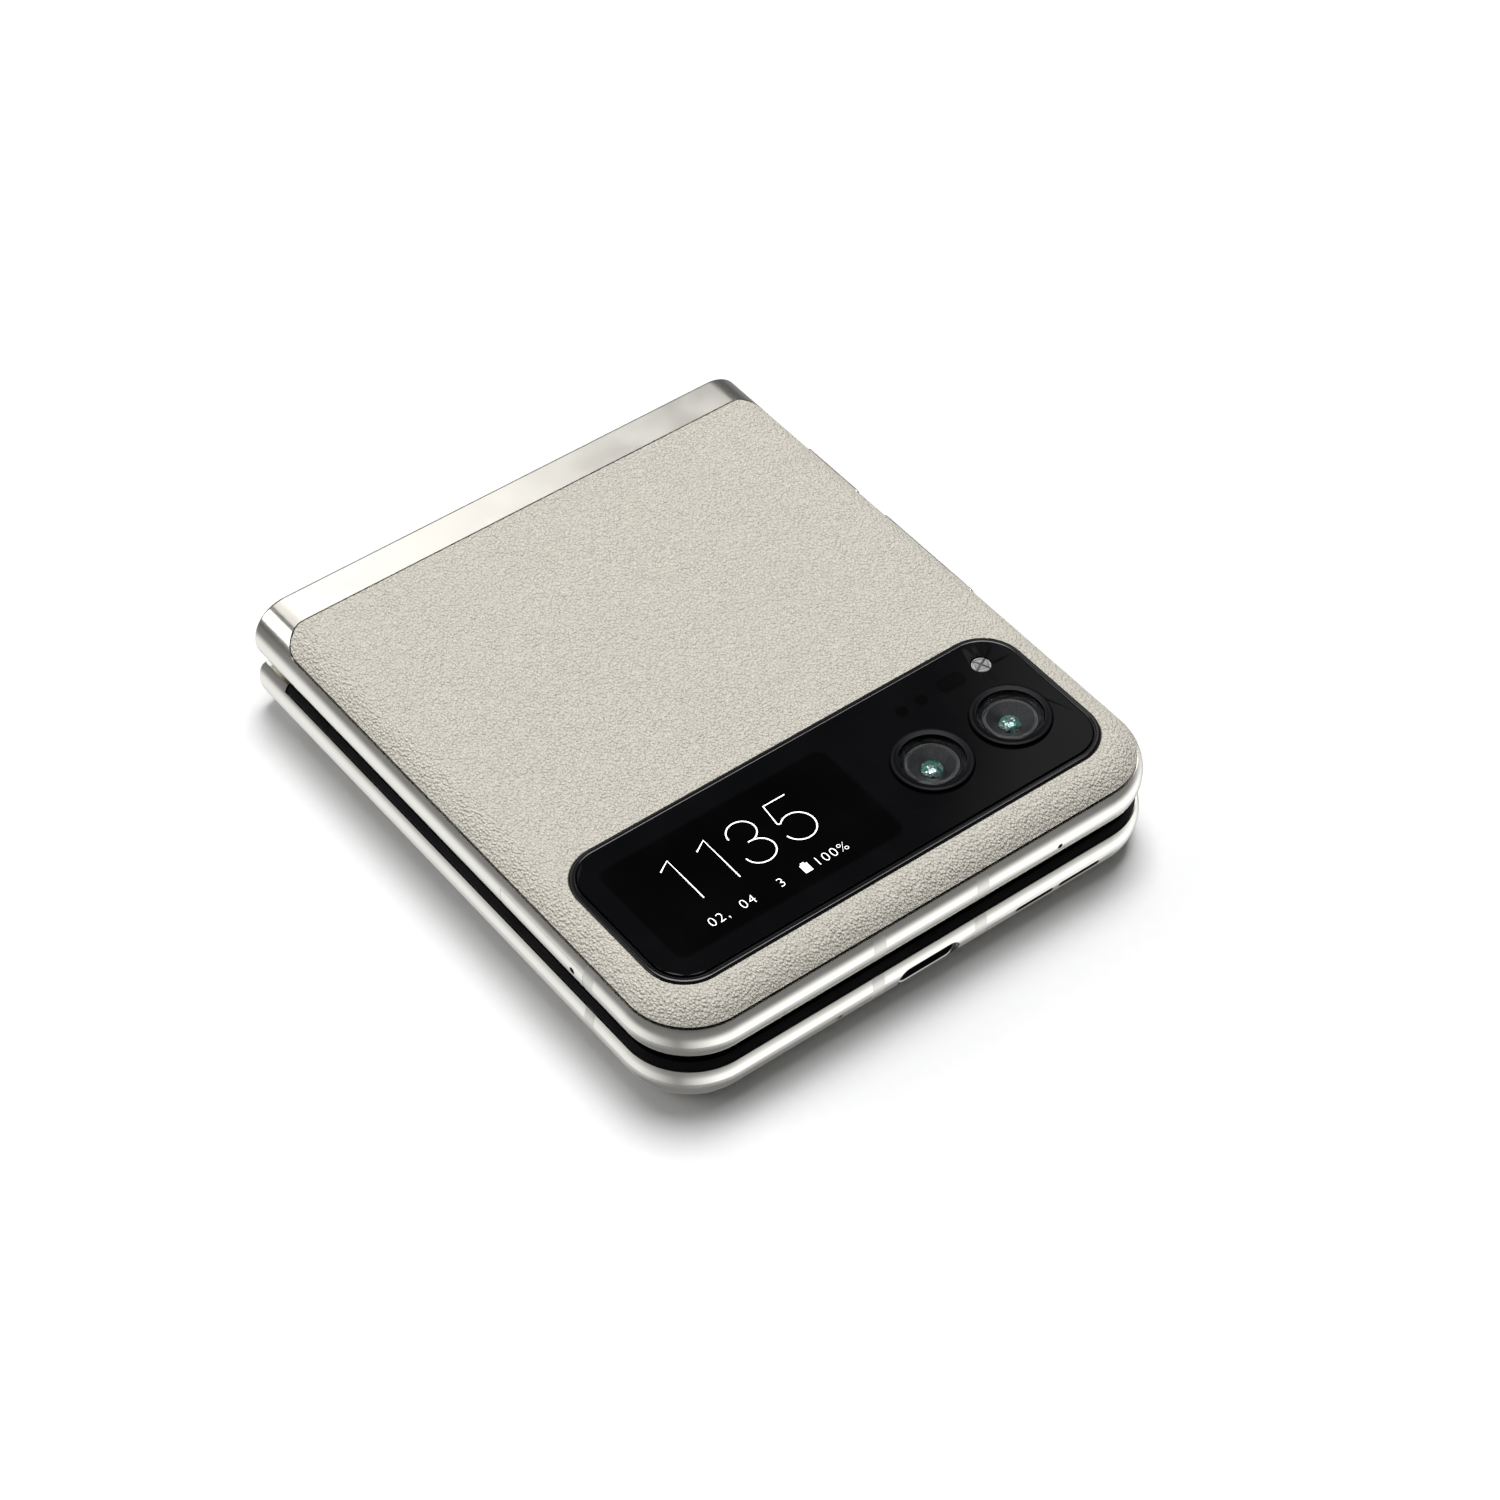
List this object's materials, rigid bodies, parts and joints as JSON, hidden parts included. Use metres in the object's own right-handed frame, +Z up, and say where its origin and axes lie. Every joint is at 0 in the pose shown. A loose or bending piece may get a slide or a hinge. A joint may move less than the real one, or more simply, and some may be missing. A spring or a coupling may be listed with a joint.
{
  "type": "flip phone",
  "caption": "Inward-folding phone lying closed, with leather backs, metal rails, a geared spine hinge, an outer glass display panel with cameras, side keys and a card tray.",
  "frame": {"origin": "bottom centre of the closed phone, on the face it lies on", "axes": "+X along the hinge, +Y towards the hinge (the free edges with the charging socket face -Y), +Z up through both halves"},
  "size_m": [0.0743, 0.0882, 0.0167],
  "materials": {
    "champagne_metal": "satin, champagne silver",
    "spine_metal": "satin",
    "break_plastic": "satin plastic, near the metal's colour",
    "cream_leather": "fine grained, pale warm grey",
    "dark_plastic": "matte black",
    "bezel_plastic": "glossy black",
    "display_film": "glossy black, unlit",
    "steel_plate": "brushed",
    "battery_wrap": "matte film",
    "copper_coil": "enamelled copper",
    "board_green": "solder mask",
    "tin_can": "tinned",
    "hinge_steel": "ground steel",
    "black_glass": "black printed glass with clear windows",
    "lens_glass": "coated clear glass",
    "cover_screen": "glossy display",
    "ring_metal": "dark anodised",
    "lens_barrel": "matte black",
    "flash_lens": "pale diffuser",
    "sensor_black": "dark window",
    "flex_amber": "polyimide film",
    "socket_steel": "drawn steel"
  },
  "bodies": {
    "lower_half": {"lower_frame": "champagne_metal", "lower_antenna_bands": "break_plastic", "lower_leather": "cream_leather", "lower_back_shell": "dark_plastic", "lower_bezel": "bezel_plastic", "display_lower": "display_film", "display_plate_lower": "steel_plate", "battery_main": "battery_wrap", "charging_coil": "copper_coil", "sub_board": "board_green", "usb_shell": "socket_steel", "usb_tongue": "dark_plastic", "loudspeaker": "dark_plastic", "lower_microphone": "tin_can", "vibration_motor": "tin_can", "lower_brackets": "hinge_steel", "lower_bracket_screws": "hinge_steel", "flex_lower": "flex_amber"},
    "spine": {"spine_cover": "spine_metal", "hinge_base": "hinge_steel", "gear_pins": "hinge_steel", "display_fold": "display_film", "flex_fold": "flex_amber"},
    "upper_half": {"upper_frame": "champagne_metal", "upper_antenna_bands": "break_plastic", "upper_leather": "cream_leather", "upper_back_shell": "dark_plastic", "upper_bezel": "bezel_plastic", "display_upper": "display_film", "display_plate_upper": "steel_plate", "cover_glass": "black_glass", "cover_display": "cover_screen", "lens_rings": "ring_metal", "lens_windows": "lens_glass", "camera_main": "lens_barrel", "camera_wide": "lens_barrel", "camera_lenses": "lens_glass", "flash_led": "flash_lens", "sensor_windows": "sensor_black", "battery_upper": "battery_wrap", "main_board": "board_green", "shield_cans": "tin_can", "inner_shield_can": "tin_can", "earpiece": "dark_plastic", "upper_microphone": "tin_can", "front_camera": "lens_barrel", "key_switches": "tin_can", "key_strip": "flex_amber", "sim_reader": "tin_can", "upper_brackets": "hinge_steel", "upper_bracket_screws": "hinge_steel", "flex_upper": "flex_amber"},
    "pinions_lower_outer": {"lower_outer_pinions": "hinge_steel"},
    "pinions_lower_inner": {"lower_inner_pinions": "hinge_steel"},
    "pinions_upper_inner": {"upper_inner_pinions": "hinge_steel"},
    "pinions_upper_outer": {"upper_outer_pinions": "hinge_steel"},
    "volume_rocker": {"volume_rocker": "champagne_metal"},
    "power_key": {"power_key": "champagne_metal"},
    "sim_tray": {"sim_tray": "champagne_metal"}
  },
  "joints": [
    {"name": "lower_fold", "type": "hinge", "parent": "lower_half", "child": "spine", "pos_m": [0, 0.0393, 0.00585], "axis": [-1, 0, 0], "range_deg": [0, 90], "deforming": ["display_fold", "flex_fold"]},
    {"name": "upper_fold", "type": "hinge", "parent": "spine", "child": "upper_half", "pos_m": [0, 0.0393, 0.00995], "axis": [-1, 0, 0], "range_deg": [0, 90]},
    {"name": "lower_outer_spin", "type": "hinge", "parent": "spine", "child": "pinions_lower_outer", "pos_m": [0, 0.04229, 0.00529], "axis": [-1, 0, 0], "range_deg": [0, 225]},
    {"name": "lower_inner_spin", "type": "hinge", "parent": "spine", "child": "pinions_lower_inner", "pos_m": [0, 0.04229, 0.00703], "axis": [-1, 0, 0], "range_deg": [-225, 0]},
    {"name": "upper_inner_spin", "type": "hinge", "parent": "spine", "child": "pinions_upper_inner", "pos_m": [0, 0.04229, 0.00877], "axis": [-1, 0, 0], "range_deg": [0, 225]},
    {"name": "upper_outer_spin", "type": "hinge", "parent": "spine", "child": "pinions_upper_outer", "pos_m": [0, 0.04229, 0.01051], "axis": [-1, 0, 0], "range_deg": [-225, 0]},
    {"name": "volume_press", "type": "slide", "parent": "upper_half", "child": "volume_rocker", "axis": [-1, 0, 0], "range_m": [0, 0.0003], "stiffness_N_per_m": 2500, "springref_m": -0.0003},
    {"name": "power_press", "type": "slide", "parent": "upper_half", "child": "power_key", "axis": [-1, 0, 0], "range_m": [0, 0.0003], "stiffness_N_per_m": 2500, "springref_m": -0.0003},
    {"name": "tray_slide", "type": "slide", "parent": "upper_half", "child": "sim_tray", "axis": [-1, 0, 0], "range_m": [0, 0.018]}
  ],
  "couplings": [
    {"joint": "upper_fold", "follows": "lower_fold", "ratio": 1},
    {"joint": "lower_outer_spin", "follows": "lower_fold", "ratio": 2.5},
    {"joint": "lower_inner_spin", "follows": "lower_fold", "ratio": -2.5},
    {"joint": "upper_inner_spin", "follows": "lower_fold", "ratio": 2.5},
    {"joint": "upper_outer_spin", "follows": "lower_fold", "ratio": -2.5}
  ]
}
